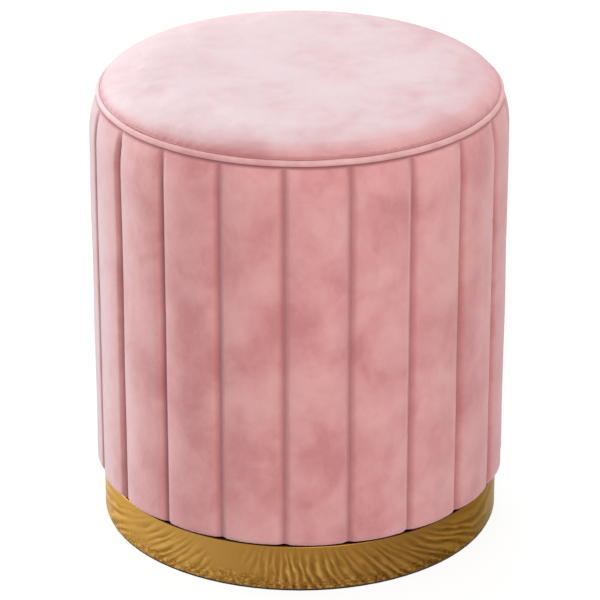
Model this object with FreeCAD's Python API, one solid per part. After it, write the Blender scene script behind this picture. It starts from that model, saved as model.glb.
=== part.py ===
"""A round velvet pouf: a channelled drum with a piped, crowned seat, on a low polished metal band.

Millimetres, with the floor at height zero and the drum's axis on Z. One seam of the channels faces -Y.
"""

import FreeCAD, Part
import math
import os

os.makedirs("parts", exist_ok=True)

# Whole pouf
overall_width = 360.0
overall_height = 412.0
channel_count = 20

# Cloth, and the clearances that every piece is fitted with
velvet = 1.5
soft_gap = 0.3
joint_gap = 0.2
cut_overrun = 5.0

# Flats of the pieces that are wrapped or sewn round, with a corner at every seam, and of small fasteners
wrap_flats = 2 * channel_count
seam_flats = 4 * channel_count
fastener_flats = 12

# Rubber ring under the band
floor_ring_height = 2.0
floor_ring_width = 9.0
floor_ring_setback = 1.0

# Polished band, folded from sheet with a flange at its top and at its bottom
band_setback = 6.0
band_height = 41.2
band_sheet = 1.2
band_bend = 2.2
band_bend_steps = 2
top_flange_width = 24.0
bottom_flange_width = 13.0

# Screws that hold the band to the bottom board
base_screw_count = 4
base_screw_inset = 17.0
base_screw_radius = 2.0
base_screw_length = 16.0
base_screw_head_radius = 4.2
base_screw_head_height = 2.4
base_screw_hole_gap = 0.4

# Channelled side: the depth of its grooves, the round of its crests, and its laps
groove_depth = 6.5
groove_steps = 3
crest_curve = 92.0
crest_half_width = 22.5
crest_steps = 4
hem_lap_overhang = 10.0
seam_lap_depth = 12.0

# Where the side draws in under the piping and rolls under at the hem
shoulder_height = 34.0
shoulder_crest_inset = 7.2
shoulder_groove_inset = 2.4
hem_roll_height = 7.2
hem_crest_inset = 5.4
hem_groove_inset = 6.5

# Shares of the shoulder's height, of its crest inset and of its groove inset, going up
shoulder_shares = [(0.0, 0.0, 0.0), (0.62, 0.22, 0.0), (0.83, 0.50, 0.30)]
shoulder_turn_shares = (0.78, 0.70)
hem_turn_shares = (0.50, 0.62)

# Shares of the way from a channel's middle to its seams, at the corners of a lap
lap_shares = (1.0, 0.5, 0.0, -0.5, -1.0)

# Filling of a channel
filling_span_share = 0.88
filling_end_length = 14.0
filling_end_inset = 7.0
filling_edge_drop = 1.0
filling_head_room = 8.0
filling_foot_room = 5.0

# Backing cloth that the channels are sewn to
backing_thickness = 0.8
backing_foot_room = 6.0
backing_head_room = 14.0

# Foam round the drum, and the drum's hardboard
side_foam_thickness = 10.0
drum_sheet = 3.0

# Boards, ring and battens of the frame
bottom_board_thickness = 15.0
bottom_board_ease = 4.0
seat_board_thickness = 15.0
vent_radius = 12.0
batten_count = 4
batten_width = 40.0
batten_depth = 18.0
batten_socket_depth = 6.0
middle_ring_thickness = 12.0
middle_ring_width = 34.0

# Foam and wadding of the seat
seat_foam_thickness = 34.0
seat_foam_foot = 2.0
seat_foam_waist = 20.0
seat_foam_ease = 10.0
wadding_crown = 10.0
wadding_side = 3.4

# Crowned velvet top
crown_flat_radius = 80.0
crown_drop = 2.4
crown_shoulder_inset = 24.0
crown_edge_inset = 4.1
crown_edge_rise = 5.5
crown_edge_steps = 3
crown_lap_rise = 2.0
crown_lining_inset = 19.0
crown_lining_drop = 3.2
crown_neck_rise = 3.0

# Piping, sewn in between the seat and the side
crown_height = 20.0
piping_radius = 174.0
piping_diameter = 6.0
piping_sides = 8
piping_flange = 1.0
piping_flange_inset = 0.4

# Dust cover, and the staples that hold it and the hem
dust_cloth = 0.5
dust_cover_gap = 1.0
staple_inset = 5.0
staple_width = 10.0
staple_leg = 10.0
staple_wire = 1.2
staple_thickness = 0.6

# Heights that follow, from the floor up
band_foot = floor_ring_height
band_top = band_foot + band_height
hem_bottom = band_top + soft_gap
hem_top = hem_bottom + velvet
board_bottom = hem_top + soft_gap
board_top = board_bottom + bottom_board_thickness
piping_height = overall_height - crown_height
seam_bottom = piping_height - seam_lap_depth
side_top = piping_height - piping_diameter / 2 - soft_gap
shoulder_foot = side_top - shoulder_height
wadding_top = overall_height - velvet - soft_gap
seat_foam_top = wadding_top - wadding_crown - soft_gap
seat_foam_bottom = seat_foam_top - seat_foam_thickness
seat_board_top = seat_foam_bottom - soft_gap
seat_board_bottom = seat_board_top - seat_board_thickness

# Radii that follow, from the outside in; a wrapped piece has this radius at its corners
crest_radius = overall_width / 2
seam_radius = crest_radius - groove_depth
band_radius = crest_radius - band_setback
backing_outer = seam_radius - velvet - soft_gap
backing_inner = backing_outer - backing_thickness
foam_outer = backing_inner - soft_gap
foam_inner = foam_outer - side_foam_thickness
wrap_flat_share = math.cos(math.pi / wrap_flats)
drum_outer = foam_inner * wrap_flat_share - soft_gap
drum_inner = drum_outer - drum_sheet
bottom_board_radius = backing_inner * wrap_flat_share - soft_gap
board_radius = drum_inner - joint_gap
batten_outer = math.sqrt(board_radius**2 - (batten_width / 2) ** 2)
batten_inner = batten_outer - batten_depth
flange_lip = band_radius - top_flange_width
base_screw_circle = band_radius - base_screw_inset
staple_circle = flange_lip - staple_inset
hem_lap_radius = flange_lip - hem_lap_overhang
piping_centre = piping_radius - piping_diameter / 2
flange_outer = piping_centre - piping_diameter / 2 - piping_flange_inset
flange_inner = flange_outer - piping_flange
side_lap_inner = flange_outer + soft_gap
side_lap_outer = side_lap_inner + velvet
seat_lap_outer = flange_inner - soft_gap
seat_lap_inner = seat_lap_outer - velvet
wadding_outer = seat_lap_inner - soft_gap
wadding_inner = wadding_outer - wadding_side

# Angles
full_turn = 360.0
quarter_turn = full_turn / 4
channel_pitch = full_turn / channel_count
half_pitch = math.radians(channel_pitch / 2)
first_screw = quarter_turn / 2

centre = FreeCAD.Vector(0, 0, 0)
up = FreeCAD.Vector(0, 0, 1)


class Pen:
    """Draws an outline of straight lines, and of round stretches that carry on in the pen's own direction."""

    def __init__(self, across, along, heading=0.0):
        self.points = [(across, along)]
        self.heading = heading

    def line(self, across, along):
        """Goes straight to a point."""
        start_across, start_along = self.points[-1]
        self.heading = math.atan2(along - start_along, across - start_across)
        self.points.append((across, along))

    def round(self, across, along, steps):
        """Goes to a point round the arc that leaves in the present direction, in a number of straight steps."""
        start_across, start_along = self.points[-1]
        chord = math.atan2(along - start_along, across - start_across)
        length = math.hypot(across - start_across, along - start_along)
        half_turn = math.remainder(chord - self.heading, 2 * math.pi)
        for step in range(1, steps):
            part_turn = half_turn * step / steps
            reach = length * math.sin(part_turn) / math.sin(half_turn)
            angle = self.heading + part_turn
            self.points.append((start_across + reach * math.cos(angle), start_along + reach * math.sin(angle)))
        self.points.append((across, along))
        self.heading = chord + half_turn


def wire_through(corners):
    """A closed wire of straight lines."""
    return Part.makePolygon(corners + corners[:1])


def plan(points, height):
    """Corners of a plan outline at one height; its second size runs outwards along Y."""
    return [FreeCAD.Vector(across, along, height) for across, along in points]


def prism(corners, travel):
    """The solid that a flat outline leaves as it travels."""
    return Part.Face(wire_through(corners)).extrude(travel)


def sewn(faces):
    """The solid inside a closed set of faces."""
    shell = Part.makeShell(faces)
    shell.sewShape()
    return Part.makeSolid(shell)


def skinned(outlines):
    """A solid through outlines of like corners, with two flat triangles from each side to the next outline's."""
    faces = [Part.Face(wire_through(outlines[0])), Part.Face(wire_through(outlines[-1]))]
    for lower, upper in zip(outlines, outlines[1:]):
        for index in range(len(lower)):
            following = (index + 1) % len(lower)
            faces.append(Part.Face(wire_through([lower[index], lower[following], upper[following]])))
            faces.append(Part.Face(wire_through([lower[index], upper[following], upper[index]])))
    return sewn(faces)


def turned(points):
    """A round solid whose profile runs through points of radius and height."""
    profile = wire_through([FreeCAD.Vector(radius, 0, height) for radius, height in points])
    return Part.Face(profile).revolve(centre, up, full_turn)


def wrapped(points, flats):
    """A solid with the same kind of profile, carried round the axis in flats."""
    faces = []
    for number in range(flats):
        start = 2 * math.pi * number / flats
        end = 2 * math.pi * (number + 1) / flats
        for (radius, height), (next_radius, next_height) in zip(points, points[1:] + points[:1]):
            places = [(radius, start, height), (radius, end, height)]
            places += [(next_radius, end, next_height), (next_radius, start, next_height)]
            corners = []
            for reach, angle, level in places:
                corner = FreeCAD.Vector(reach * math.cos(angle), reach * math.sin(angle), level)
                if corner not in corners:
                    corners.append(corner)
            if len(corners) > 2:
                faces.append(Part.Face(wire_through(corners)))
    return sewn(faces)


def ring_profile(inner, outer, bottom, top):
    """The rectangular profile of a ring."""
    return [(inner, bottom), (outer, bottom), (outer, top), (inner, top)]


def disc(radius, bottom, top):
    """A flat round disc."""
    return Part.makeCylinder(radius, top - bottom, FreeCAD.Vector(0, 0, bottom))


def block(width, inner, outer, bottom, top):
    """A box centred on X that runs outwards along Y."""
    corner = FreeCAD.Vector(-width / 2, inner, bottom)
    return Part.makeBox(width, outer - inner, top - bottom, corner)


def post(radius, out, bottom, top):
    """A small upright of a fastener's section, at a distance out along Y."""
    corners = []
    for number in range(fastener_flats):
        angle = 2 * math.pi * number / fastener_flats
        corners.append((radius * math.cos(angle), out + radius * math.sin(angle)))
    return prism(plan(corners, bottom), FreeCAD.Vector(0, 0, top - bottom))


def round_the_axis(shape, count, first=0.0):
    """Copies of a shape, evenly spaced about the axis."""
    copies = []
    for index in range(count):
        copy = shape.copy()
        copy.rotate(centre, up, first + full_turn * index / count)
        copies.append(copy)
    return copies


def save(name, shape):
    """Writes one piece to its own file."""
    shape.exportStep("parts/" + name + ".step")


def save_round_the_axis(name, shape, count, first=0.0):
    """Writes copies of a piece, evenly spaced about the axis, each to its own numbered file."""
    for number, copy in enumerate(round_the_axis(shape, count, first), start=1):
        save(name + "_" + str(number).zfill(2), copy)


def make_floor_ring():
    """The flat rubber ring that the pouf stands on."""
    outer = band_radius - floor_ring_setback
    return wrapped(ring_profile(outer - floor_ring_width, outer, 0, floor_ring_height), seam_flats)


def make_base_band():
    """The polished band: one folded sheet with a rounded top corner, and holes for its screws."""
    wall = band_radius - band_sheet
    bottom_lip = band_radius - bottom_flange_width
    pen = Pen(bottom_lip, band_foot)
    pen.line(band_radius, band_foot)
    pen.line(band_radius, band_top - band_bend)
    pen.round(band_radius - band_bend, band_top, band_bend_steps)
    pen.line(flange_lip, band_top)
    pen.line(flange_lip, band_top - band_sheet)
    pen.line(wall, band_top - band_sheet)
    pen.line(wall, band_foot + band_sheet)
    pen.line(bottom_lip, band_foot + band_sheet)
    hole_bottom = band_top - band_sheet - cut_overrun
    hole = post(base_screw_radius + base_screw_hole_gap, base_screw_circle, hole_bottom, band_top + cut_overrun)
    return turned(pen.points).cut(round_the_axis(hole, base_screw_count, first_screw))


def make_base_screws():
    """Pan head screws, up through the band's flange and the hem into the bottom board."""
    seat = band_top - band_sheet
    shank = post(base_screw_radius, base_screw_circle, seat, seat + base_screw_length)
    head = post(base_screw_head_radius, base_screw_circle, seat - base_screw_head_height, seat)
    return Part.makeCompound(round_the_axis(head.fuse(shank), base_screw_count, first_screw))


def make_dust_cover():
    """The thin cloth that closes the underside, inside the band."""
    radius = flange_lip - dust_cover_gap
    top = hem_bottom - soft_gap
    return wrapped([(0, top - dust_cloth), (radius, top - dust_cloth), (radius, top), (0, top)], wrap_flats)


def make_base_staples():
    """A staple under each channel, up through the dust cover and the hem into the board."""
    half = staple_width / 2
    back_top = hem_bottom - soft_gap - dust_cloth
    back_bottom = back_top - staple_thickness
    tip = back_bottom + staple_leg
    pen = Pen(-half, back_bottom)
    pen.line(half, back_bottom)
    pen.line(half, tip)
    pen.line(half - staple_thickness, tip)
    pen.line(half - staple_thickness, back_top)
    pen.line(staple_thickness - half, back_top)
    pen.line(staple_thickness - half, tip)
    pen.line(-half, tip)
    corners = [FreeCAD.Vector(across, staple_circle, height) for across, height in pen.points]
    staple = prism(corners, FreeCAD.Vector(0, staple_wire, 0))
    return Part.makeCompound(round_the_axis(staple, channel_count, channel_pitch / 2))


def batten_notches(bottom, top):
    """The notches that the battens need in the rim of a board or ring."""
    width = batten_width + 2 * joint_gap
    notch = block(width, batten_inner - joint_gap, board_radius + cut_overrun, bottom, top)
    return round_the_axis(notch, batten_count)


def make_bottom_board():
    """Plywood disc that the hem is stapled to, with an eased lower edge and a socket for each batten."""
    board = turned(
        [
            (0, board_bottom),
            (bottom_board_radius - bottom_board_ease, board_bottom),
            (bottom_board_radius, board_bottom + bottom_board_ease),
            (bottom_board_radius, board_top),
            (0, board_top),
        ]
    )
    width = batten_width + 2 * joint_gap
    floor = board_top - batten_socket_depth
    socket = block(width, batten_inner - joint_gap, batten_outer + joint_gap, floor, board_top + cut_overrun)
    return board.cut(round_the_axis(socket, batten_count))


def make_frame_batten():
    """An upright batten, from its socket in the bottom board to the top of the seat board."""
    return block(batten_width, batten_inner, batten_outer, board_top - batten_socket_depth, seat_board_top)


def make_middle_ring():
    """Plywood ring half way up, which keeps the drum round and the battens upright."""
    bottom = (board_top + seat_board_bottom - middle_ring_thickness) / 2
    top = bottom + middle_ring_thickness
    body = turned(ring_profile(board_radius - middle_ring_width, board_radius, bottom, top))
    return body.cut(batten_notches(bottom - cut_overrun, top + cut_overrun))


def make_seat_board():
    """Plywood disc under the seat foam, notched for the battens, with a hole that lets the foam breathe."""
    bottom = seat_board_bottom - cut_overrun
    top = seat_board_top + cut_overrun
    cutters = batten_notches(bottom, top) + [disc(vent_radius, bottom, top)]
    return disc(board_radius, seat_board_bottom, seat_board_top).cut(cutters)


def make_drum_panel():
    """Hardboard bent round the battens, standing on the bottom board."""
    return turned(ring_profile(drum_inner, drum_outer, board_top, seat_board_top))


def make_side_foam():
    """Sheet foam wrapped round the drum."""
    return wrapped(ring_profile(foam_inner, foam_outer, board_top + soft_gap, seat_board_top), wrap_flats)


def make_backing_cloth():
    """The cloth that the channels are sewn to, stretched round the foam."""
    bottom = board_bottom + backing_foot_room
    top = side_top - backing_head_room
    return wrapped(ring_profile(backing_inner, backing_outer, bottom, top), wrap_flats)


def make_seat_foam():
    """Foam disc, drawn in at its waist by the seam and eased at its upper edge."""
    waist = wadding_inner - soft_gap
    points = [
        (0, seat_foam_bottom),
        (foam_outer, seat_foam_bottom),
        (foam_outer, seat_foam_bottom + seat_foam_foot),
        (waist, seat_foam_bottom + seat_foam_waist),
        (waist - seat_foam_ease, seat_foam_top),
        (0, seat_foam_top),
    ]
    return wrapped(points, wrap_flats)


def make_seat_wadding():
    """Soft wadding over the foam, thick at the middle and thin where the velvet is drawn down."""
    waist = seat_foam_bottom + seat_foam_waist + soft_gap
    points = [
        (wadding_inner, waist),
        (wadding_outer, waist),
        (wadding_outer, piping_height + crown_neck_rise - soft_gap),
        (piping_radius - crown_lining_inset - soft_gap, wadding_top - crown_lining_drop),
        (0, wadding_top),
        (0, seat_foam_top + soft_gap),
        (wadding_inner - seat_foam_ease, seat_foam_top + soft_gap),
    ]
    return wrapped(points, wrap_flats)


def make_seat_cover():
    """The velvet top: a low crown, a round shoulder, and a lap that hangs inside the piping seam."""
    pen = Pen(0, overall_height)
    pen.line(crown_flat_radius, overall_height)
    pen.round(piping_radius - crown_shoulder_inset, overall_height - crown_drop, 1)
    pen.round(piping_radius - crown_edge_inset, piping_height + crown_edge_rise, crown_edge_steps)
    pen.line(seat_lap_outer, piping_height + crown_lap_rise)
    pen.line(seat_lap_outer, seam_bottom)
    pen.line(0, seam_bottom)
    hollow = [
        (0, seam_bottom - cut_overrun),
        (seat_lap_inner, seam_bottom - cut_overrun),
        (seat_lap_inner, piping_height + crown_neck_rise),
        (piping_radius - crown_lining_inset, overall_height - velvet - crown_lining_drop),
        (0, overall_height - velvet),
    ]
    return turned(pen.points).cut(wrapped(hollow, wrap_flats))


def make_piping():
    """Velvet wrapped round a cord, sewn shut into a flange that hangs between the two laps."""
    reach = piping_diameter / 2 / math.cos(math.pi / piping_sides)
    points = [(flange_inner, seam_bottom), (flange_outer, seam_bottom)]
    points.append((flange_outer, piping_height - piping_diameter / 2))
    for corner in range(piping_sides // 2 + 1):
        angle = (2 * corner + 1) * math.pi / piping_sides - math.pi / 2
        points.append((piping_centre + reach * math.cos(angle), piping_height + reach * math.sin(angle)))
    points.append((flange_inner, piping_height))
    return wrapped(points, seam_flats)


def radial(radius, share=1.0):
    """A plan point at a share of the way from a channel's middle to its seam."""
    return radius * math.sin(half_pitch * share), radius * math.cos(half_pitch * share)


def channel_outside(crest, seam):
    """A pen that has drawn a channel's outside from seam to seam, and how far out its crest's edges lie."""
    slope = math.asin(crest_half_width / crest_curve)
    edge = crest - crest_curve * (1 - math.cos(slope))
    seam_across, seam_along = radial(seam)
    chord = math.atan2(edge - seam_along, seam_across - crest_half_width)
    pen = Pen(-seam_across, seam_along, 2 * chord - slope)
    pen.round(-crest_half_width, edge, groove_steps)
    pen.round(crest_half_width, edge, crest_steps)
    pen.round(seam_across, seam_along, groove_steps)
    return pen, edge


def wall_outline(height, crest, seam):
    """The closed section of a channel's velvet at one height."""
    pen, edge = channel_outside(crest, seam)
    inner_half_width = crest_half_width - velvet / 2
    seam_across, seam_along = radial(seam - velvet)
    pen.line(seam_across, seam_along)
    pen.line(inner_half_width, edge - velvet)
    pen.line(0, crest - velvet)
    pen.line(-inner_half_width, edge - velvet)
    pen.line(-seam_across, seam_along)
    return plan(pen.points, height)


def lap_outline(height, crest, seam, inner):
    """The closed outline of a channel's end, turned in to an inner radius."""
    pen, _ = channel_outside(crest, seam)
    for share in lap_shares:
        pen.line(*radial(inner, share))
    return plan(pen.points, height)


def make_channel_panel():
    """One velvet channel: its bulged wall, its rolled hem and lap below, and its seam lap above."""
    hem_turn = (
        crest_radius - hem_crest_inset * hem_turn_shares[0],
        seam_radius - hem_groove_inset * hem_turn_shares[1],
    )
    hem_end = (crest_radius - hem_crest_inset, seam_radius - hem_groove_inset)
    shoulder_turn = (
        crest_radius - shoulder_crest_inset * shoulder_turn_shares[0],
        seam_radius - shoulder_groove_inset * shoulder_turn_shares[1],
    )
    shoulder_end = (crest_radius - shoulder_crest_inset, seam_radius - shoulder_groove_inset)
    levels = [(hem_top, *hem_turn), (hem_bottom + hem_roll_height, crest_radius, seam_radius)]
    for height_share, crest_share, groove_share in shoulder_shares:
        height = shoulder_foot + shoulder_height * height_share
        crest = crest_radius - shoulder_crest_inset * crest_share
        levels.append((height, crest, seam_radius - shoulder_groove_inset * groove_share))
    levels.append((side_top - velvet, *shoulder_turn))
    wall = skinned([wall_outline(*level) for level in levels])
    hem_outlines = [
        lap_outline(hem_bottom, *hem_end, hem_lap_radius),
        lap_outline(hem_top, *hem_turn, hem_lap_radius),
    ]
    head_outlines = [
        lap_outline(side_top - velvet, *shoulder_turn, side_lap_inner),
        lap_outline(side_top, *shoulder_end, side_lap_inner),
    ]
    lap_corners = [radial(side_lap_outer, -share) for share in lap_shares]
    lap_corners += [radial(side_lap_inner, share) for share in lap_shares]
    lap = prism(plan(lap_corners, seam_bottom), FreeCAD.Vector(0, 0, side_top - velvet - seam_bottom))
    return wall.fuse([skinned(hem_outlines), skinned(head_outlines), lap]).removeSplitter()


def make_channel_filling():
    """The soft filling of one channel, thinned towards both ends."""
    crest = crest_radius - velvet - soft_gap
    slope = math.asin(crest_half_width / crest_curve)
    edge = crest - crest_curve * (1 - math.cos(slope)) - filling_edge_drop
    half_width = crest_half_width - velvet / 2 - 2 * soft_gap
    back = backing_outer + soft_gap
    bottom = hem_top + filling_foot_room
    top = side_top - filling_head_room
    back_across, back_along = radial(back, filling_span_share)
    section = [(-back_across, back_along), (-half_width, edge), (0, crest), (half_width, edge)]
    section += [(back_across, back_along), (0, back)]
    body = prism(plan(section, bottom), FreeCAD.Vector(0, 0, top - bottom))
    side = [
        (0, bottom),
        (crest - filling_end_inset, bottom),
        (crest, bottom + filling_end_length),
        (crest, top - 2 * filling_end_length),
        (crest - filling_end_inset, top),
        (0, top),
    ]
    corners = [FreeCAD.Vector(-seam_radius, out, height) for out, height in side]
    return body.common(prism(corners, FreeCAD.Vector(2 * seam_radius, 0, 0)))


# Base
save("floor_ring", make_floor_ring())
save("base_band", make_base_band())
save("base_screws", make_base_screws())
save("dust_cover", make_dust_cover())
save("base_staples", make_base_staples())

# Frame
save("bottom_board", make_bottom_board())
save_round_the_axis("frame_batten", make_frame_batten(), batten_count)
save("middle_ring", make_middle_ring())
save("seat_board", make_seat_board())
save("drum_panel", make_drum_panel())

# Side
save("side_foam", make_side_foam())
save("backing_cloth", make_backing_cloth())
save_round_the_axis("channel_filling", make_channel_filling(), channel_count, channel_pitch / 2)
save_round_the_axis("channel_panel", make_channel_panel(), channel_count, channel_pitch / 2)

# Seat
save("seat_foam", make_seat_foam())
save("seat_wadding", make_seat_wadding())
save("seat_cover", make_seat_cover())
save("piping", make_piping())
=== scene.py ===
"""A round velvet pouf: a channelled drum with a crowned, piped seat, on a low polished band. Metres, Z up."""

import math

import bmesh
import bpy
from mathutils import Color, Matrix, Vector, noise


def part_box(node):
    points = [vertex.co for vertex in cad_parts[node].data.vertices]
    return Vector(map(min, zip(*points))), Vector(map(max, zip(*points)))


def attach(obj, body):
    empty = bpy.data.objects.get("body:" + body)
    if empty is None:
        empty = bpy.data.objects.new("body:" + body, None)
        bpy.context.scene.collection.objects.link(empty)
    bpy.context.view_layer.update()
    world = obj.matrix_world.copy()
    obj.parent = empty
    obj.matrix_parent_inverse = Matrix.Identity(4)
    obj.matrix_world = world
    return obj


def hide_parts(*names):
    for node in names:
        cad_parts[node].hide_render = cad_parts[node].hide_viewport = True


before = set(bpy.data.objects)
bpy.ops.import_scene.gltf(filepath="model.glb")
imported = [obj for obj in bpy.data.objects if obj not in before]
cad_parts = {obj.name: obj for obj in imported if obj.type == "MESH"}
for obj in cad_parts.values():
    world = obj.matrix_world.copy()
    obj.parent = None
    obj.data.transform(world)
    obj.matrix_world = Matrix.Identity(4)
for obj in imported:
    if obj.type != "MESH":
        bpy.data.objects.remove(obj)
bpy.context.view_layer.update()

# Floor ring
# A flat ring of black rubber glued under the band, so that the metal never meets the floor.
# It is cut from sheet, and only its edge shows, as a thin dark line.


class Term:
    """A value that changes over a surface. Sums and products with it add Math nodes."""

    def __init__(self, nodes, socket):
        self.nodes = nodes
        self.socket = socket

    def reckon(self, operation, first, second):
        return self.nodes.node("Math", {"operation": operation}, {0: first, 1: second})

    def __add__(self, other):
        return self.reckon("ADD", self, other)

    def __sub__(self, other):
        return self.reckon("SUBTRACT", self, other)

    def __rsub__(self, other):
        return self.reckon("SUBTRACT", other, self)

    def __mul__(self, other):
        return self.reckon("MULTIPLY", self, other)

    def __pow__(self, other):
        return self.reckon("POWER", self, other)

    __radd__ = __add__
    __rmul__ = __mul__


class Nodes:
    """The shader nodes of a material or of the world. Their sockets take plain values or terms."""

    def __init__(self, tree):
        self.tree = tree

    def fill(self, node, sockets):
        """Gives sockets their values or links."""
        for socket, value in sockets.items():
            if isinstance(value, Term):
                self.tree.links.new(value.socket, node.inputs[socket])
            else:
                node.inputs[socket].default_value = value

    def node(self, kind, settings=None, sockets=None, output=0):
        """Adds a node, sets it, fills its sockets and hands back one of its outputs."""
        made = self.tree.nodes.new("ShaderNode" + kind)
        for setting, value in (settings or {}).items():
            if setting == "stops":
                elements = made.color_ramp.elements
                elements.remove(elements[-1])
                elements[0].position, elements[0].color = value[0]
                for position, colour in value[1:]:
                    elements.new(position).color = colour
            else:
                setattr(made, setting, value)
        self.fill(made, sockets or {})
        return Term(self, made.outputs[output])

    def place(self, scale=(1, 1, 1)):
        """The point on the object, with each of its axes scaled."""
        here = self.node("TexCoord", output="Object")
        return self.node("Mapping", {}, {"Vector": here, "Scale": scale})

    def axis(self, coordinate, letter):
        """One axis of the point on the object, or of the way that the surface faces."""
        source = self.node("TexCoord", output=coordinate)
        return self.node("SeparateXYZ", {}, {0: source}, output=letter)

    def cloud(self, place, scale, detail=2.0, roughness=0.5, distortion=0.0):
        """Soft noise from 0 to 1."""
        sockets = {"Vector": place, "Scale": scale, "Detail": detail}
        sockets.update({"Roughness": roughness, "Distortion": distortion})
        return self.node("TexNoise", {}, sockets)

    def mix(self, share, first, second):
        """One colour turned into another by a share."""
        return self.node("Mix", {"data_type": "RGBA"}, {0: share, 6: first, 7: second}, output=2)

    def ramp(self, share, *stops):
        """A colour read from a row of stops."""
        return self.node("ValToRGB", {"stops": stops}, {0: share})

    def between(self, value, low, high):
        """A term taken from its own low and high to 0 and 1, smoothly."""
        settings = {"interpolation_type": "SMOOTHSTEP"}
        return self.node("MapRange", settings, {"Value": value, "From Min": low, "From Max": high})


class Finish(Nodes):
    """A material with one Principled shader."""

    def __init__(self, name, **sockets):
        self.material = bpy.data.materials.new(name)
        self.material.use_nodes = True
        super().__init__(self.material.node_tree)
        self.look(**sockets)

    def look(self, **sockets):
        """Fills the shader's sockets. Their names have _ for each space."""
        shader = self.tree.nodes["Principled BSDF"]
        self.fill(shader, {socket.replace("_", " "): value for socket, value in sockets.items()})

    def raise_surface(self, height, distance):
        """Shades the surface as if it were lifted by a height times a distance."""
        self.look(Normal=self.node("Bump", {}, {"Height": height, "Distance": distance}))


def seen(red, green, blue):
    """A colour as the eye sees it, from 0 to 255, for a shader's socket."""
    return (*Color((red / 255, green / 255, blue / 255)).from_srgb_to_scene_linear(), 1.0)


def dress(node, finish):
    """Gives a piece that keeps its own mesh a better finish."""
    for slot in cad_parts[node].material_slots:
        slot.material = finish.material


rubber = Finish("black_rubber", Specular_IOR_Level=0.35)
rub = rubber.cloud(rubber.place(), 260, detail=4)
rubber_tone = rubber.ramp(rub, (0.3, seen(20, 18, 17)), (0.75, seen(46, 42, 38)))
rubber.look(Base_Color=rubber_tone, Roughness=rub * 0.25 + 0.6)
rubber.raise_surface(rubber.cloud(rubber.place(), 1400), 0.0002)
dress("floor_ring", rubber)

# Polished band
# A strip of metal sheet, rolled round and plated gold, with a flange folded in above and below.
# The base screws pass through four holes in the upper one. Its colour is painted with reflections: wavy
# streaks fanned out as a reflected plank floor, and a fine speckle at its foot as a reflected rug. It is also
# painted lighter on the left than on the right, and painted dark where it faces up, as painted shade under
# the velvet's hem.

band_low, band_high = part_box("base_band")
band_radius = band_high.x
band_tall = band_high.z - band_low.z
band_sheet = 0.0012
band_bend = 0.0016
band_bend_steps = 6
band_hem = 0.0005
band_hem_steps = 3
top_flange = 0.024
bottom_flange = 0.013
round_steps = 240
screw_circle = band_radius - 0.017
screw_hole = 0.0024
screw_hole_sides = 24
screw_count = 4
first_screw = math.radians(45)
same_place = 0.00001
smooth_angle = math.radians(38)


def lathe(outline, steps=round_steps, closed=True):
    """Spins an outline of radius and height all round the upright axis."""
    bm = bmesh.new()
    corners = [bm.verts.new((radius, 0, height)) for radius, height in outline]
    following = corners[1:] + corners[:1] if closed else corners[1:]
    edges = [bm.edges.new(pair) for pair in zip(corners, following)]
    spun = {"cent": (0, 0, 0), "axis": (0, 0, 1), "angle": math.tau, "steps": steps, "use_merge": True}
    bmesh.ops.spin(bm, geom=corners + edges, **spun)
    bmesh.ops.remove_doubles(bm, verts=bm.verts, dist=same_place)
    bmesh.ops.recalc_face_normals(bm, faces=bm.faces)
    return bm


def ease(bm, radius, height, offset, segments):
    """Rounds the corner of a turned piece that lies at a radius and a height."""

    def on_ring(vert):
        level = math.isclose(vert.co.z, height, abs_tol=same_place)
        return level and math.isclose(vert.co.xy.length, radius, abs_tol=same_place)

    ring = [edge for edge in bm.edges if all(map(on_ring, edge.verts))]
    rounding = {"offset_type": "OFFSET", "segments": segments, "profile": 0.5, "affect": "EDGES"}
    bmesh.ops.bevel(bm, geom=ring, offset=offset, material=-1, clamp_overlap=True, **rounding)


def placed_mesh(name, bm):
    """An object in the scene with the bmesh as its mesh."""
    mesh = bpy.data.meshes.new(name)
    bm.to_mesh(mesh)
    bm.free()
    placed = bpy.data.objects.new(name, mesh)
    bpy.context.scene.collection.objects.link(placed)
    return placed


def fixed(piece, finish, node):
    """Shades a piece smoothly, gives it its finish and fixes it to the pouf in place of its node."""
    piece.data.shade_smooth()
    piece.data.set_sharp_from_angle(angle=smooth_angle)
    piece.data.materials.clear()
    piece.data.materials.append(finish.material)
    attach(piece, "root")
    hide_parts(node)


def taken_as_seen(piece):
    """Makes what a piece's modifiers show its own mesh."""
    shown = bpy.data.meshes.new_from_object(piece.evaluated_get(bpy.context.evaluated_depsgraph_get()))
    piece.modifiers.clear()
    piece.data = shown


def cut(piece, blade_bm):
    """Cuts a shape out of a piece."""
    blade = placed_mesh("blade", blade_bm)
    cutting = piece.modifiers.new("cut", "BOOLEAN")
    cutting.object = blade
    cutting.solver = "EXACT"
    taken_as_seen(piece)
    bpy.data.objects.remove(blade)


def repeated(bm, count, first):
    """Copies everything in a bmesh round the upright axis, starting at an angle."""
    single = bm.verts[:] + bm.edges[:] + bm.faces[:]
    for number in range(count):
        turned = Matrix.Rotation(first + math.tau * number / count, 3, "Z")
        geometry = bmesh.ops.duplicate(bm, geom=single)["geom"] if number < count - 1 else single
        verts = [item for item in geometry if isinstance(item, bmesh.types.BMVert)]
        bmesh.ops.rotate(bm, verts=verts, cent=(0, 0, 0), matrix=turned)
    return bm


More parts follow.
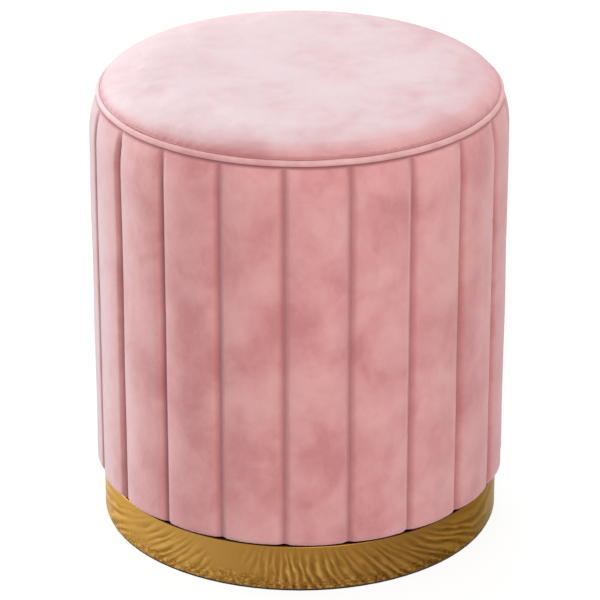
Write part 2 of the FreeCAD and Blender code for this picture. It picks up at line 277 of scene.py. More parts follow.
wall = band_radius - band_sheet
top_lip = band_radius - top_flange
bottom_lip = band_radius - bottom_flange
band_outline = [
    (bottom_lip, band_low.z),
    (band_radius, band_low.z),
    (band_radius, band_high.z),
    (top_lip, band_high.z),
    (top_lip, band_high.z - band_sheet),
    (wall, band_high.z - band_sheet),
    (wall, band_low.z + band_sheet),
    (bottom_lip, band_low.z + band_sheet),
]
band_bm = lathe(band_outline)
ease(band_bm, band_radius, band_high.z, band_bend, band_bend_steps)
ease(band_bm, band_radius, band_low.z, band_hem, band_hem_steps)
band = placed_mesh("polished_band", band_bm)
holes = bmesh.new()
drill = {"segments": screw_hole_sides, "radius1": screw_hole, "radius2": screw_hole, "depth": 4 * band_sheet}
drilled = Matrix.Translation((screw_circle, 0, band_high.z - band_sheet / 2))
bmesh.ops.create_cone(holes, cap_ends=True, matrix=drilled, **drill)
cut(band, repeated(holes, screw_count, first_screw))

fan_reach = 2.7 / band_radius**2
fan_squeeze = 0.35
rise_squeeze = 0.4
reflected_ripple_scale = 34.0
reflected_strand_scale = 150
patch_scale = 13
reflection_streak_middle = 0.725
reflection_streak_strength = 0.75
foot_reflection_scale = 300
foot_reflection_middle = 0.55
foot_reflection_strength = 2.0
foot_unevenness = 0.014
plain_tone = 0.485
painted_side_light = 1.75
gold_dent = 0.0004


def band_level(share):
    """The height at a share of the band's own."""
    return band_low.z + share * band_tall


gold = Finish("polished_gold", Metallic=1.0, Specular_Tint=seen(246, 226, 190))
across = gold.axis("Object", "X")
along = gold.axis("Object", "Y")
height = gold.axis("Object", "Z")
# Painted reflection: the streaks follow the lines that a plank floor makes when seen in the band, fanned out
# towards the sides.
fanned = across * (1 - height * along * fan_reach)
swept = along - (along * along - across * across) * height * (fan_reach / 2)
lines = gold.node("CombineXYZ", {}, {0: fanned, 1: swept * fan_squeeze, 2: height * rise_squeeze})
waves = {"Vector": lines, "Scale": reflected_ripple_scale, "Distortion": 9.0, "Detail": 2.5}
waves.update({"Detail Scale": 1.1, "Detail Roughness": 0.6})
reflected_ripples = gold.node("TexWave", {}, waves)
reflected_strands = gold.cloud(lines, reflected_strand_scale, detail=3, roughness=0.6)
patches = gold.cloud(gold.place(), patch_scale)
fade = 1 - gold.between(height, band_level(0.45), band_level(1.05))
strength = fade * gold.between(patches, 0.34, 0.60)
# Painted reflection of a plank floor, as wavy streaks that fade out upward.
painted_reflection_streaks = (reflected_ripples * 0.55 + reflected_strands * 0.9 - reflection_streak_middle) * strength * reflection_streak_strength
# Painted reflection of a rug at the band's foot, as a fine speckle.
foot_reflection_noise = gold.cloud(gold.place((1, 1, 1.4)), foot_reflection_scale, detail=4, roughness=0.7)
foot = 1 - gold.between(height + patches * foot_unevenness, band_level(0.18), band_level(0.55))
painted_foot_reflection = (foot_reflection_noise - foot_reflection_middle) * foot * foot_reflection_strength
# Painted light: the gold is painted lighter on the left and darker on the right.
tone = painted_reflection_streaks + painted_foot_reflection + (plain_tone - across * painted_side_light)
gold_with_painted_light = gold.ramp(tone, (0.0, seen(82, 52, 18)), (0.5, seen(152, 109, 48)), (1.0, seen(224, 178, 98)))
# Painted shade: where the band faces up, under the velvet's hem, it is painted a dark brown.
painted_shade_on_top = gold.between(gold.axis("Normal", "Z"), 0.12, 0.62)
smears = gold.cloud(gold.place(), 90, detail=4)
gold.look(Base_Color=gold.mix(painted_shade_on_top, gold_with_painted_light, seen(92, 54, 26)), Roughness=smears * 0.08 + 0.28)
gold.raise_surface(tone, gold_dent)
fixed(band, gold, "base_band")

# Base screws
# Four pan head screws with a cross recess, driven up through the band's flange and the hem into the board.
# Bright zinc, with a drawn-out thread.

screw_low, screw_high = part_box("base_screws")
head_height = 0.0024
head_radius = 0.0042
head_ease = 0.0015
head_ease_steps = 4
shank_radius = 0.0020
thread_depth = 0.0004
thread_pitch = 0.0016
screw_steps = 28
recess_length = 0.0044
recess_width = 0.0011
recess_depth = 0.0013
head_top = screw_low.z + head_height
screw_outline = [
    (0, screw_low.z),
    (head_radius, screw_low.z),
    (head_radius, head_top),
    (shank_radius, head_top),
]
thread_turns = int((screw_high.z - head_top - thread_pitch) / thread_pitch)
for turn in range(thread_turns):
    start = head_top + thread_pitch * (turn + 0.5)
    screw_outline.append((shank_radius - thread_depth, start))
    screw_outline.append((shank_radius, start + thread_pitch / 2))
screw_outline.append((0, screw_high.z))
screw_bm = lathe(screw_outline, steps=screw_steps)
ease(screw_bm, head_radius, screw_low.z, head_ease, head_ease_steps)
screws = placed_mesh("band_screws", screw_bm)
for angle in (0, math.pi / 2):
    recess_bm = bmesh.new()
    size = Matrix.Diagonal((recess_length, recess_width, 2 * recess_depth, 1))
    place = Matrix.Translation((0, 0, screw_low.z)) @ Matrix.Rotation(angle, 4, "Z")
    bmesh.ops.create_cube(recess_bm, size=1.0, matrix=place @ size)
    cut(screws, recess_bm)
screw_bm = bmesh.new()
screw_bm.from_mesh(screws.data)
bmesh.ops.translate(screw_bm, verts=screw_bm.verts, vec=(screw_circle, 0, 0))
repeated(screw_bm, screw_count, first_screw).to_mesh(screws.data)
screw_bm.free()

zinc = Finish("bright_zinc", Metallic=1.0)
crystals = zinc.cloud(zinc.place(), 900, detail=3)
zinc_tone = zinc.ramp(crystals, (0.3, seen(176, 176, 172)), (0.7, seen(206, 207, 208)))
zinc.look(Base_Color=zinc_tone, Roughness=crystals * 0.2 + 0.22)
fixed(screws, zinc, "base_screws")

# Dust cover and staples
# Thin black cloth of pressed fibre that closes the underside. It is pulled tight and stapled at its edge.
# The staples go on up through the hem laps of the channels into the bottom board.

cover_low, cover_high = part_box("dust_cover")
cover_radius = cover_high.x
cover_sheet = cover_high.z - cover_low.z
cover_rings = 26
cloth_steps = 120
cover_sag = 0.0022
sag_unevenness = 0.4
sag_scale = 30
upward = Vector((0, 0, 1))


def faced(bm, face, direction):
    """Turns every face of a bmesh round where one that is meant to look in a direction looks away from it."""
    if face.normal.dot(direction) < 0:
        bmesh.ops.reverse_faces(bm, faces=bm.faces)


def thickened(piece, thickness, even=False):
    """Gives a cloth its thickness, behind the face that shows."""
    cloth = piece.modifiers.new("cloth", "SOLIDIFY")
    cloth.thickness = thickness
    cloth.use_even_offset = even


cover_line = [(cover_radius * ring / cover_rings, cover_high.z) for ring in range(cover_rings + 1)]
cover_bm = lathe(cover_line, steps=cloth_steps, closed=False)
for vert in cover_bm.verts:
    free = 1 - (vert.co.xy.length / cover_radius) ** 2
    uneven = 1 - sag_unevenness + sag_unevenness * noise.noise(vert.co * sag_scale)
    vert.co.z -= cover_sag * free * uneven
faced(cover_bm, cover_bm.faces[:][0], upward)
cover = placed_mesh("dust_cloth", cover_bm)
thickened(cover, cover_sheet)

black_cloth = Finish("pressed_fibre_cloth", Specular_IOR_Level=0.2, Roughness=0.92)
fibre = black_cloth.cloud(black_cloth.place(), 700, detail=5, roughness=0.7, distortion=1.2)
dots = black_cloth.node("TexVoronoi", {}, {"Vector": black_cloth.place(), "Scale": 620.0})
fibre_tone = black_cloth.ramp(fibre * 0.7 + dots * 0.5, (0.2, seen(22, 22, 24)), (0.8, seen(58, 58, 61)))
black_cloth.look(Base_Color=fibre_tone)
black_cloth.raise_surface(fibre + dots, 0.0003)
fixed(cover, black_cloth, "dust_cover")

staple_steel = Finish("staple_steel", Metallic=1.0)
wire_lines = staple_steel.cloud(staple_steel.place((1, 1, 0.1)), 1500, detail=3)
staple_tone = staple_steel.ramp(wire_lines, (0.3, seen(150, 150, 150)), (0.7, seen(196, 196, 198)))
staple_steel.look(Base_Color=staple_tone, Roughness=wire_lines * 0.2 + 0.25)
dress("base_staples", staple_steel)

# Boards, battens and drum
# The frame: a plywood board below and above, a plywood ring half way, four battens let into them,
# and a sheet of hardboard bent round them.

ply_thickness = 0.0022

birch = Finish("birch_plywood", Specular_IOR_Level=0.3, Roughness=0.7)
figure = birch.cloud(birch.place((14, 1.2, 1)), 9, detail=6, roughness=0.62, distortion=1.6)
pores = birch.cloud(birch.place((60, 3, 1)), 20, detail=3)
veneer = birch.ramp(figure * 0.75 + pores * 0.25, (0.3, seen(196, 158, 108)), (0.7, seen(226, 196, 150)))
tilt = birch.axis("Normal", "Z")
edge_share = 1 - birch.between(tilt * tilt, 0.2, 0.8)
ply_place = {0: birch.axis("Object", "Z"), 1: ply_thickness}
ply_share = birch.node("Math", {"operation": "PINGPONG"}, ply_place) * (1 / ply_thickness)
plies = birch.ramp(ply_share, (0.35, seen(150, 108, 66)), (0.65, seen(214, 180, 130)))
birch.look(Base_Color=birch.mix(edge_share, veneer, plies))
birch.raise_surface(pores, 0.0002)
for node in ("bottom_board", "middle_ring", "seat_board"):
    dress(node, birch)

pine = Finish("planed_pine", Specular_IOR_Level=0.3, Roughness=0.65)
rings = pine.cloud(pine.place((9, 9, 0.35)), 14, detail=5, distortion=2.2)
pine.look(Base_Color=pine.ramp(rings, (0.35, seen(204, 160, 104)), (0.65, seen(232, 202, 150))))
pine.raise_surface(rings, 0.0003)
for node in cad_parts:
    if node.startswith("frame_batten"):
        dress(node, pine)

hardboard = Finish("hardboard", Specular_IOR_Level=0.4, Roughness=0.5)
felted = hardboard.cloud(hardboard.place(), 320, detail=6, roughness=0.75)
hardboard.look(Base_Color=hardboard.ramp(felted, (0.3, seen(92, 60, 36)), (0.7, seen(138, 98, 62))))
hardboard.raise_surface(felted, 0.0002)
dress("drum_panel", hardboard)

# Side foam and backing cloth
# Sheet foam wrapped round the drum, with its cut edges eased, and over it the woven cloth
# that the seams of the channels are sewn to.

foam_low, foam_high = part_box("side_foam")
foam_radius = foam_high.x
foam_thickness = 0.010
foam_ease = 0.002
foam_ease_steps = 3
foam_outline = [
    (foam_radius - foam_thickness, foam_low.z),
    (foam_radius, foam_low.z),
    (foam_radius, foam_high.z),
    (foam_radius - foam_thickness, foam_high.z),
]
foam_bm = lathe(foam_outline, steps=cloth_steps)
for rim in (foam_high.z, foam_low.z):
    ease(foam_bm, foam_radius, rim, foam_ease, foam_ease_steps)
foam_wrap = placed_mesh("foam_wrap", foam_bm)


def stuffing(name, light, dark, cell):
    """Open foam or fibre, with cells or tufts of a size."""
    soft = Finish(name, Specular_IOR_Level=0.15, Roughness=0.95)
    cells = soft.node("TexVoronoi", {}, {"Vector": soft.place(), "Scale": 1 / cell})
    drift = soft.cloud(soft.place(), 30, detail=3)
    soft.look(Base_Color=soft.ramp(cells * 0.6 + drift * 0.5, (0.2, dark), (0.8, light)))
    soft.raise_surface(cells, cell / 2)
    return soft


foam = stuffing("cut_foam", seen(238, 232, 214), seen(206, 196, 172), 0.0016)
fixed(foam_wrap, foam, "side_foam")

backing_low, backing_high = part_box("backing_cloth")
backing_radius = backing_high.x
backing_tall = backing_high.z - backing_low.z
backing_sheet = 0.0008
backing_rows = 25
backing_line = [(backing_radius, backing_low.z), (backing_radius, backing_high.z)]
backing_bm = lathe(backing_line, steps=cloth_steps, closed=False)
upright = [edge for edge in backing_bm.edges if edge.calc_length() > backing_tall / 2]
bmesh.ops.subdivide_edges(backing_bm, edges=upright, cuts=backing_rows - 1)
backing_face = backing_bm.faces[:][0]
faced(backing_bm, backing_face, backing_face.calc_center_median())
backing = placed_mesh("backing_sheet", backing_bm)
thickened(backing, backing_sheet)

canvas = Finish("plain_canvas", Specular_IOR_Level=0.2, Roughness=0.9)
weave = {"Vector": canvas.place(), "Scale": 260.0, "Distortion": 0.6}
weft = canvas.node("TexWave", {"bands_direction": "Z"}, weave)
slub = canvas.cloud(canvas.place((1, 1, 8)), 60, detail=4)
canvas_tone = canvas.ramp(weft * 0.4 + slub * 0.6, (0.25, seen(196, 186, 168)), (0.75, seen(228, 222, 208)))
canvas.look(Base_Color=canvas_tone)
canvas.raise_surface(weft, 0.0002)
fixed(backing, canvas, "backing_cloth")

# Channel fillings
# A strip of soft fibre stands behind each channel's velvet and gives it its bulge.
# It is a little narrower than the channel, and thinned at both ends.

channel_nodes = sorted(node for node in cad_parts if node.startswith("channel_panel"))
pitch = math.tau / len(channel_nodes)
crest_radius = 0.1800
groove_depth = 0.0065
crest_fall = 0.0028
flank_width = 0.0062
flank_steps = 9
crest_steps = 7
velvet_sheet = 0.0015
soft_gap = 0.0003
fill_low, fill_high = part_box("channel_filling_01")
fill_tall = fill_high.z - fill_low.z
fill_back = backing_radius + soft_gap
fill_front = crest_radius - velvet_sheet - 3 * soft_gap
filling_span_share = 0.86
filling_rings = 30
filling_taper = 0.022
filling_thin = 0.0045
filling_least_share = 0.25


def channel_drop(share):
    """How far the velvet lies under the crest, at a share of the way from a channel's middle to its seam."""
    from_seam = (1 - abs(share)) * crest_radius * pitch / 2
    valley = (1 + math.cos(math.pi * min(1.0, from_seam / flank_width))) / 2
    return crest_fall * share**2 + (groove_depth - crest_fall) * valley


def channel_front(bm, crest, reach):
    """Draws a channel's front, from one side of its reach to the other, with its middle on Y."""
    flank_share = flank_width / (crest_radius * pitch / 2)
    flank = [1 - flank_share * step / flank_steps for step in range(flank_steps)]
    level = [(1 - flank_share) * (1 - step / crest_steps) for step in range(crest_steps)]
    half = [share for share in flank + level if share < reach]
    shares = [-reach] + [-share for share in half] + [0.0] + half[::-1] + [reach]
    corners = []
    for share in shares:
        angle = share * pitch / 2
        radius = crest - channel_drop(share)
        corners.append(bm.verts.new((radius * math.sin(angle), radius * math.cos(angle), 0)))
    for pair in zip(corners, corners[1:]):
        bm.edges.new(pair)
    return corners


def at_radius(point, radius, height):
    """The point at a radius and a height, in the direction that a point on the outline lies in."""
    return (point.xy.normalized() * radius).to_3d() + Vector((0, 0, height))


def extruded(bm, edges):
    """Extrudes open edges where they are, and hands back the new corners and edges."""
    grown = bmesh.ops.extrude_edge_only(bm, edges=edges)["geom"]
    verts = {item for item in grown if isinstance(item, bmesh.types.BMVert)}
    new_edges = [item for item in grown if isinstance(item, bmesh.types.BMEdge)]
    return verts, [edge for edge in new_edges if verts.issuperset(edge.verts)]


def carried_up(bm, edges, heights, formed):
    """Extrudes an outline through heights. A function says where a corner of it goes at each.

    Hands back the last edges, and the layer that holds each corner's place in the outline.
    """
    outlined = bm.verts.layers.float_vector.new("outline")
    for vert in {vert for edge in edges for vert in edge.verts}:
        vert[outlined] = vert.co
        vert.co = formed(Vector(vert[outlined]), heights[0])
    for height in heights[1:]:
        verts, edges = extruded(bm, edges)
        for vert in verts:
            vert.co = formed(Vector(vert[outlined]), height)
    return edges, outlined


def filling_place(point, height):
    """Thins the filling towards its ends."""
    near_end = min(height - fill_low.z, fill_high.z - height)
    thin = max(0.0, 1 - near_end / filling_taper) ** 2 * filling_thin
    depth = max(0.0, point.length - fill_back)
    return at_radius(point, fill_back + max(depth * filling_least_share, depth - thin), height)


fibre_fill = stuffing("soft_fibre", seen(244, 242, 238), seen(214, 210, 204), 0.003)
filling_heights = [fill_low.z + fill_tall * ring / filling_rings for ring in range(filling_rings + 1)]
for number, node in enumerate(channel_nodes):
    bm = bmesh.new()
    front = channel_front(bm, fill_front, filling_span_share)
    backs = [bm.verts.new(end.co.normalized() * fill_back) for end in (front[0], front[-1])]
    for pair in ((front[0], backs[0]), backs, (backs[1], front[-1])):
        bm.edges.new(pair)
    outlined = carried_up(bm, bm.edges[:], filling_heights, filling_place)[1]
    bm.verts.layers.float_vector.remove(outlined)
    bmesh.ops.holes_fill(bm, edges=[edge for edge in bm.edges if edge.is_boundary], sides=0)
    bmesh.ops.recalc_face_normals(bm, faces=bm.faces)
    turn = Matrix.Rotation(pitch * (number + 0.5), 3, "Z")
    bmesh.ops.rotate(bm, verts=bm.verts, cent=(0, 0, 0), matrix=turn)
    strip = placed_mesh("fibre_strip_" + node[-2:], bm)
    fixed(strip, fibre_fill, "channel_filling_" + node[-2:])

# Velvet channels
# Cotton velvet, sewn down to the backing at every seam and bulged over its filling in between.
# Below, it rolls under to a lap stapled to the board. Above, it draws in to a lap in the piping's seam.

panel_low, panel_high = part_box("channel_panel_01")
hem_roll = 0.0072
hem_lift = 0.0012
hem_crest_inset = 0.0060
hem_groove_inset = 0.0014
hem_turn_radius = band_radius - 0.0040
hem_lap_radius = band_radius - 0.034
shoulder_rise = 0.034
shoulder_stop = 0.93
shoulder_crest_inset = 0.0072
shoulder_groove_inset = 0.0012
groove_rise = 0.4 * shoulder_rise
shoulder_extra = 0.0004
shoulder_top = panel_high.z + shoulder_extra
tuck_reach = 0.0032
tuck_inset = 0.0028
side_lap_radius = 0.1679
side_lap_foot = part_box("piping")[0].z
hem_line = ((hem_turn_radius, panel_low.z), (hem_lap_radius, panel_low.z))
side_lap_line = ((side_lap_radius, shoulder_top), (side_lap_radius, side_lap_foot))
wall_spacing = 0.005
turn_steps = 7
least_spacing = 0.0003
groove_deepness = 0.95
crease_start = 0.1
crease_deepness = 1.5
crease_reach = 0.0030
sway = 0.0007
sway_scale = 14.0
# Painted sheen: the velvet is painted paler on the side towards this direction, the left, where the lamps
# light it.
painted_sheen_side = (-1.06, 0.06, 0)
sheen_side_falloff = 5.6
tone_stops = (0.375, 0.5, 0.625)


def rounded(share):
    """How far a quarter round has come in, from 0 at its straight end to 1 at its tip."""
    return 1 - math.sqrt(max(0.0, 1 - min(1.0, max(0.0, share)) ** 2))


def tapered(share):
    """Like a quarter round, but stopped before its tip, where the velvet slips into a seam."""
    return rounded(shoulder_stop * share) / rounded(shoulder_stop)


def groove_share(point):
    """From 0 on the crest to 1 at the seam, for a point on the channel's outline."""
    return min(1.0, max(0.0, (crest_radius - point.length) / groove_depth))


def channel_place(point, height):
    """Where a point of the channel's outline lies at a height: drawn in at the shoulder and at the hem."""
    groove = groove_share(point)
    roll = rounded(1 - (height - panel_low.z - hem_lift) / (hem_roll - hem_lift))
    draw = tapered(1 - (shoulder_top - height) / shoulder_rise)
    late_draw = tapered(1 - (shoulder_top - height) / groove_rise)
    crest_in = hem_crest_inset * roll + shoulder_crest_inset * draw
    groove_in = hem_groove_inset * roll + shoulder_groove_inset * late_draw
    inset = crest_in + (groove_in - crest_in) * groove
    inset += tuck_inset * rounded(1 - (shoulder_top - height) / tuck_reach)
    return at_radius(point, point.length - inset, height)


def drawn(bm, edges, line):
    """Extrudes open edges through a line of radius and height."""
    for radius, height in line:
        verts, edges = extruded(bm, edges)
        for vert in verts:
            vert.co = at_radius(vert.co, radius, height)


def channel_heights():
    """Rings close together where the velvet turns, and evenly spaced between."""
    rise = hem_roll - hem_lift
    foot = panel_low.z + hem_lift
    hem = [foot + rise * (1 - math.cos(step / turn_steps * math.pi / 2)) for step in range(turn_steps)]
    wall_foot = panel_low.z + hem_roll
    wall_tall = shoulder_top - shoulder_rise - panel_low.z - hem_roll
    count = int(wall_tall / wall_spacing)
    straight = [wall_foot + wall_tall * step / count for step in range(count)]
    turns = [math.sin(step / (2 * turn_steps) * math.pi / 2) for step in range(2 * turn_steps)]
    shoulder = [shoulder_top - shoulder_rise + shoulder_rise * turn for turn in turns]
    tucks = [1 - math.sin(step / turn_steps * math.pi / 2) for step in range(turn_steps + 1)]
    tuck = [shoulder_top - tuck_reach * share for share in tucks]
    return hem + straight + [height for height in shoulder if height < tuck[0] - least_spacing] + tuck


def velvet(name, lie, patch, sheen_side, falloff, side_from_place, *tones):
    """Short pile that lies in patches, with painted sheen and painted shade. It is painted paler on the side
    that the lamps light, as painted sheen, and painted darker in creases, as painted shade.

    The lie mirrors or stretches the patches' pattern. Where the side is taken from place, the painted sheen
    is told less from the way the surface faces than from the side of the pouf that it is on.
    """
    pile = Finish(name, Roughness=0.85, Specular_IOR_Level=0.15, Sheen_Weight=0.9, Sheen_Roughness=0.7)
    pile.look(Sheen_Tint=seen(250, 210, 214))
    place = pile.place(lie)
    broad = pile.cloud(place, 1 / patch, distortion=0.25)
    crushed = pile.cloud(place, 3.2 / patch, detail=5, roughness=0.62, distortion=0.5)
    fine = pile.cloud(pile.place(), 600, roughness=0.6)
    brushed = broad * 0.62 + crushed * 0.30 + fine * 0.08
    tone = pile.ramp(brushed, *zip(tone_stops, tones))
    normal = pile.node("TexCoord", output="Normal")
    outward = pile.node("VectorMath", {"operation": "NORMALIZE"}, {0: pile.place((1, 1, 0))})
    facing, side = (
        pile.node("VectorMath", {"operation": "DOT_PRODUCT"}, {0: direction, 1: sheen_side}, output="Value")
        for direction in (normal, outward)
    )
    # Painted sheen: how far the surface turns to the lit side, from its facing and from its place on the
    # pouf.
    toward = pile.node("Math", {"operation": "MAXIMUM"}, {0: facing * (1 - side_from_place) + side * side_from_place, 1: 0.0})
    lobe = pile.node("Math", {"operation": "MINIMUM"}, {0: toward**falloff, 1: 1.0})
    # Painted sheen: the velvet is painted a pale pink on the lit side.
    tone_with_painted_sheen = pile.mix(lobe * (broad * 0.85 + crushed * 0.85 + 0.12), tone, seen(212, 208, 213))
    # Painted shade: the creases are painted a dark rose, less so on the side painted with sheen.
    groove = pile.node("Attribute", {"attribute_name": "groove"}, output="Fac")
    painted_crease_shade = pile.between(groove, crease_start, crease_deepness)
    pile.look(Base_Color=pile.mix(painted_crease_shade * (1 - lobe * 0.6), tone_with_painted_sheen, seen(144, 66, 66)))
    pile.raise_surface(brushed + fine * 0.08, patch * 0.04)
    return pile


side_tones = (seen(196, 121, 121), seen(211, 143, 142), seen(219, 159, 156))
side_velvet = velvet("velvet_side", (-1, 1, 0.85), 0.046, painted_sheen_side, sheen_side_falloff, 0.3, *side_tones)
for number, node in enumerate(channel_nodes):
    bm = bmesh.new()
    channel_front(bm, crest_radius, 1.0)
    foot_edges = bm.edges[:]
    head_edges, outlined = carried_up(bm, foot_edges, channel_heights(), channel_place)
    # Painted shade in the seams, and at the hem and under the piping where the velvet turns in.
    crease_shade_layer = bm.verts.layers.float.new("groove")
    turn = Matrix.Rotation(pitch * (number + 0.5), 3, "Z")
    for vert in bm.verts:
        groove = groove_share(Vector(vert[outlined]))
        from_end = min(vert.co.z - panel_low.z - hem_lift, shoulder_top - vert.co.z)
        vert[crease_shade_layer] = max(groove_deepness * groove, crease_deepness * (1 - from_end / crease_reach))
        from_lap = max(0.0, min(vert.co.z - panel_low.z, shoulder_top - vert.co.z))
        free = (1 - groove) * min(1.0, from_lap / shoulder_rise)
        outward = vert.co.xy.normalized().to_3d()
        vert.co += outward * sway * free * noise.noise(turn @ vert.co * sway_scale)
    bm.verts.layers.float_vector.remove(outlined)
    for edges, line in ((foot_edges, hem_line), (head_edges, side_lap_line)):
        drawn(bm, edges, line)
    bmesh.ops.recalc_face_normals(bm, faces=bm.faces)
    front = max(bm.faces, key=lambda face: face.calc_center_median().xy.length)
    faced(bm, front, front.calc_center_median().xy.to_3d())
    bmesh.ops.rotate(bm, verts=bm.verts, cent=(0, 0, 0), matrix=turn)
    panel = placed_mesh("velvet_channel_" + node[-2:], bm)
    thickened(panel, velvet_sheet, even=True)
    fixed(panel, side_velvet, node)

# Seat foam and wadding
# A thick foam disc on the seat board, and over it a softer layer that fills out the crown.
# Both are hidden under the velvet.

seat_low, seat_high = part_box("seat_foam")
seat_foam_radius = seat_high.x
seat_foam_foot = 0.002
seat_foam_waist = 0.020
waist_radius = 0.1608
seat_foam_top_radius = waist_radius - 0.010
seat_foam_outline = [
    (0, seat_low.z),
    (seat_foam_radius, seat_low.z),
    (seat_foam_radius, seat_low.z + seat_foam_foot),
    (waist_radius, seat_low.z + seat_foam_waist),
    (seat_foam_top_radius, seat_high.z),
    (0, seat_high.z),
]
seat_foam = placed_mesh("seat_foam_disc", lathe(seat_foam_outline, steps=cloth_steps))
fixed(seat_foam, foam, "seat_foam")

wad_low, wad_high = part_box("seat_wadding")
wad_radius = wad_high.x
wad_side = 0.010
wad_turn_radius = 0.152
wad_turn_drop = 0.0036
wad_flat_radius = 0.080
wad_flat_drop = 0.0006
wad_outline = [
    (waist_radius + soft_gap, wad_low.z),
    (wad_radius, wad_low.z),
    (wad_radius, wad_low.z + wad_side),
    (wad_turn_radius, wad_high.z - wad_turn_drop),
    (wad_flat_radius, wad_high.z - wad_flat_drop),
    (0, wad_high.z),
    (0, seat_high.z + soft_gap),
    (seat_foam_top_radius + soft_gap, seat_high.z + soft_gap),
]
wadding = placed_mesh("wadding_layer", lathe(wad_outline, steps=cloth_steps))
fixed(wadding, fibre_fill, "seat_wadding")

# Velvet seat
# One round of the same velvet over the wadding. It swells into a low crown, turns down sharply near its edge,
# and its lap hangs inside the piping's seam.

seat_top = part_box("seat_cover")[1].z
piping_half = 0.0030
cord_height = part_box("piping")[1].z - piping_half
seat_edge = 0.1706
seat_lap_radius = 0.1663
neck_height = cord_height + 0.0018
tuck_height = cord_height + 0.0038
tuck_line = (
    (seat_edge - 0.0002, cord_height + 0.0030),
    (seat_edge - 0.0004, cord_height + 0.0022),
    (seat_lap_radius, cord_height + 0.0014),
    (seat_lap_radius, side_lap_foot),
)
seat_square = 9.8
seat_dish = 0.0008
seat_slack = 0.0012
seat_floor_drop = 0.006
seat_voxel = 0.0045
seat_rings = 44
seat_steps = 180
held_reach = 0.001
clean_cut = 0.0002
swell_pressure = 4.0
swell_stiffness = 30
swell_bending = 1.5
swell_cap = 0.0012
swell_frames = 20
seat_crease_slope = 1.2
seat_crease_cap = 0.8
# Painted sheen on the seat's top and its back left, where the lamps light it.
crown_sheen_side = (-0.53, 0.37, 0.965)
crown_sheen_falloff = 3.2


def crown_height(radius, top):
    """The height of the crown at a radius: nearly flat, then falling steeply to the neck."""
    share = min(1.0, radius / seat_edge)
    fall = math.sqrt(max(0.0, 1 - share**seat_square))
    return neck_height + (top - neck_height) * fall - seat_dish * share**2 * fall


def swollen(piece, held):
    """Lets a closed form swell under pressure where it isn't held, outward only and never past the cap."""
    group = piece.vertex_groups.new(name="sewn")
    group.add([vert.index for vert in piece.data.vertices if held(vert.co)], 1.0, "ADD")
    before = [vert.co.copy() for vert in piece.data.vertices]
    cloth = piece.modifiers.new("cloth", "CLOTH")
    cloth.settings.vertex_group_mass = "sewn"
    cloth.settings.use_pressure = True
    cloth.settings.uniform_pressure_force = swell_pressure
    cloth.settings.effector_weights.gravity = 0
    cloth.settings.tension_stiffness = swell_stiffness
    cloth.settings.compression_stiffness = swell_stiffness
    cloth.settings.bending_stiffness = swell_bending
    for frame_number in range(1, swell_frames + 1):
        bpy.context.scene.frame_set(frame_number)
    shown = piece.evaluated_get(bpy.context.evaluated_depsgraph_get()).data
    after = [vert.co.copy() for vert in shown.vertices]
    piece.modifiers.clear()
    bpy.context.scene.frame_set(1)
    normals = [vert.normal.copy() for vert in piece.data.vertices]
    for vert, normal, start, end in zip(piece.data.vertices, normals, before, after):
        push = max(0.0, (end - start).dot(normal))
        vert.co = start + normal * swell_cap * (1 - math.exp(-push / swell_cap))


start_top = seat_top - seat_slack
spacing = [math.sin(ring / seat_rings * math.pi / 2) for ring in range(seat_rings + 1)]
crown_line = [(seat_edge * share, crown_height(seat_edge * share, start_top)) for share in spacing]
seat_floor = neck_height - seat_floor_drop
crown_line += [(seat_lap_radius, seat_floor), (0, seat_floor)]
seat = placed_mesh("velvet_seat", lathe(crown_line, steps=seat_steps))
regular = seat.modifiers.new("regular", "REMESH")
regular.mode = "VOXEL"
regular.voxel_size = seat_voxel
taken_as_seen(seat)
swollen(seat, lambda point: point.z < neck_height + held_reach)
bm = bmesh.new()
bm.from_mesh(seat.data)
everything = bm.verts[:] + bm.edges[:] + bm.faces[:]
level_cut = {"plane_co": (0, 0, tuck_height), "plane_no": upward, "clear_inner": True, "dist": clean_cut}
bmesh.ops.bisect_plane(bm, geom=everything, **level_cut)
drawn(bm, [edge for edge in bm.edges if edge.is_boundary], tuck_line)
# Painted shade along the crease where the seat meets the cord.
crease_shade_layer = bm.verts.layers.float.new("groove")
for vert in bm.verts:
    near_cord = max(0.0, 1 - (vert.co.z - tuck_height) / crease_reach)
    vert[crease_shade_layer] = min(seat_crease_cap, seat_crease_slope * near_cord)
bmesh.ops.recalc_face_normals(bm, faces=bm.faces)
faced(bm, max(bm.faces, key=lambda face: face.calc_center_median().z), upward)
bm.to_mesh(seat.data)
bm.free()
thickened(seat, velvet_sheet)
finer = seat.modifiers.new("finer", "SUBSURF")
finer.levels = 1
finer.render_levels = 1
# Painted shade: the seat's copy of the velvet is a little darker than the side's.
seat_tones_shaded = (seen(190, 125, 127), seen(203, 142, 143), seen(213, 156, 156))
seat_velvet = velvet("velvet_seat", (-1, 1, -1), 0.060, crown_sheen_side, crown_sheen_falloff, 0.0, *seat_tones_shaded)
fixed(seat, seat_velvet, "seat_cover")

# Piping
# A cord covered with a bias strip of the velvet. The strip's two edges make the flange
# that is sewn in between the lap of the seat and the laps of the side.

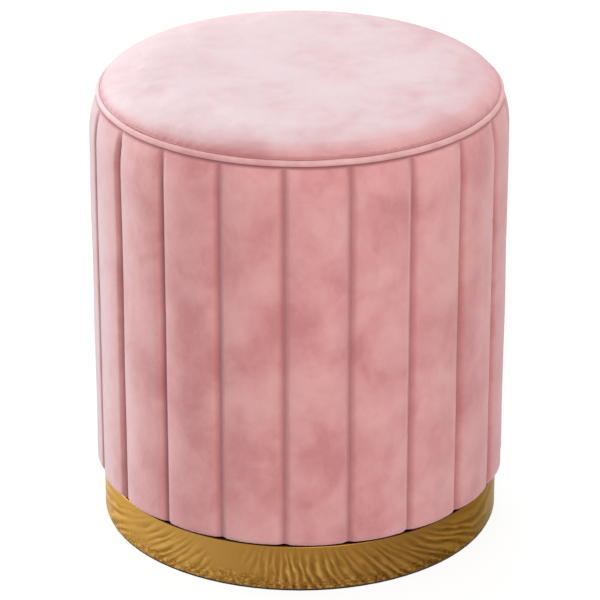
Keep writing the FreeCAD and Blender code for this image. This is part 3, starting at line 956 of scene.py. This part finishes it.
cord_radius = 0.0026
piping_edge = 0.1740
cord_centre = piping_edge - cord_radius
cord_steps = 20
cord_start = -150
cord_span = 300
flange_outer = 0.1676
flange_inner = 0.1666
flange_end = flange_outer + 0.0008
piping_steps = 360
open_turn = math.radians(32)
open_half = math.radians(48)
cord_crease_slope = 1.3
cord_sway = 0.00022
cord_sway_scale = 55
cord_lift = 0.0002
cord_lift_scale = 34
piping_line = [(flange_inner, side_lap_foot), (flange_outer, side_lap_foot)]
for step in range(cord_steps + 1):
    angle = math.radians(cord_start + cord_span * step / cord_steps)
    out = cord_radius * math.cos(angle)
    up = cord_radius * math.sin(angle)
    piping_line.append((cord_centre + out, cord_height + up))
piping_line.append((flange_inner, cord_height))
piping_bm = lathe(piping_line, steps=piping_steps)
# Painted shade on the cord above and below, where it meets the seat and the channels.
crease_shade_layer = piping_bm.verts.layers.float.new("groove")
for vert in piping_bm.verts:
    turn = math.atan2(vert.co.z - cord_height, vert.co.xy.length - cord_centre)
    past_open = max(0.0, abs(turn - open_turn) - open_half)
    vert[crease_shade_layer] = min(crease_deepness, cord_crease_slope * past_open)
    if vert.co.xy.length > flange_end:
        vert.co += vert.co.xy.normalized().to_3d() * cord_sway * noise.noise(vert.co * cord_sway_scale)
        vert.co.z += cord_lift * noise.noise(vert.co * cord_lift_scale)
piping = placed_mesh("velvet_piping", piping_bm)
# Painted light: the piping's copy of the velvet is lighter than the side's.
cord_tones_lit = (seen(209, 147, 147), seen(217, 161, 160), seen(223, 171, 168))
piping_velvet = velvet("velvet_piping", (1, 1, 1), 0.02, painted_sheen_side, sheen_side_falloff, 1.0, *cord_tones_lit)
fixed(piping, piping_velvet, "piping")

# Studio
# A pale floor that runs on to a white ground. A large soft lamp hangs high up behind, one stands low
# at the left and one in front on the right. The camera looks down from the front.

ground_strength = 0.64
floor_glow = 0.87
floor_reach = 6.0
lit_point = Vector((0, 0, 0.25))
lamp_colour = (1.0, 0.99, 0.98)


def shows_ground(nodes):
    """1 where the ground is seen, straight, in a gloss or through glass, and 0 where it lights the pouf."""
    shown = 0.0
    for ray in ("Is Camera Ray", "Is Glossy Ray", "Is Transmission Ray"):
        seen_by = nodes.node("LightPath", output=ray)
        shown = nodes.node("Math", {"operation": "MAXIMUM"}, {0: seen_by, 1: shown})
    return shown


floor_bm = bmesh.new()
bmesh.ops.create_grid(floor_bm, x_segments=1, y_segments=1, size=floor_reach)
floor = placed_mesh("studio_floor", floor_bm)
pale = Finish("pale_floor", Roughness=0.9, Specular_IOR_Level=0.1, Base_Color=seen(112, 111, 110))
pale.look(Emission_Color=seen(255, 255, 255), Emission_Strength=shows_ground(pale) * floor_glow)
floor.data.materials.append(pale.material)

world = bpy.data.worlds.new("studio")
bpy.context.scene.world = world
world.use_nodes = True
ground = Nodes(world.node_tree)
level = ground.node("MapRange", {}, {"Value": shows_ground(ground), "To Min": ground_strength, "To Max": 1.0})
ground.fill(world.node_tree.nodes["Background"], {"Color": seen(255, 255, 255), "Strength": level})


def lamp(name, place, size, power):
    """A square soft lamp that shines from its place towards the middle of the pouf."""
    data = bpy.data.lights.new(name, "AREA")
    data.size = size
    data.energy = power
    data.color = lamp_colour
    made = bpy.data.objects.new(name, data)
    made.location = place
    made.rotation_euler = (lit_point - Vector(place)).to_track_quat("-Z", "Y").to_euler()
    bpy.context.scene.collection.objects.link(made)


lamp("back_lamp", (-0.5, 2.2, 2.5), 1.8, 35)
lamp("left_lamp", (-2.8, 1.2, 0.55), 1.0, 70)
lamp("front_lamp", (0.95, -2.8, 1.1), 2.0, 57)

camera_lens = 208.3
camera_sensor = 36.0
camera_distance = 3.038
camera_azimuth = math.radians(4.38)
camera_elevation = math.radians(24.39)
camera_aim = Vector((0, 0, 0.1937))
camera_data = bpy.data.cameras.new("camera")
camera_data.lens = camera_lens
camera_data.sensor_width = camera_sensor
camera = bpy.data.objects.new("camera", camera_data)
level_out = math.cos(camera_elevation)
across_out = math.sin(camera_azimuth) * level_out
back = Vector((across_out, -math.cos(camera_azimuth) * level_out, math.sin(camera_elevation)))
camera.location = camera_aim + back * camera_distance
camera.rotation_euler = (-back).to_track_quat("-Z", "Y").to_euler()
bpy.context.scene.collection.objects.link(camera)
bpy.context.scene.camera = camera
bpy.context.scene.view_settings.view_transform = "Standard"
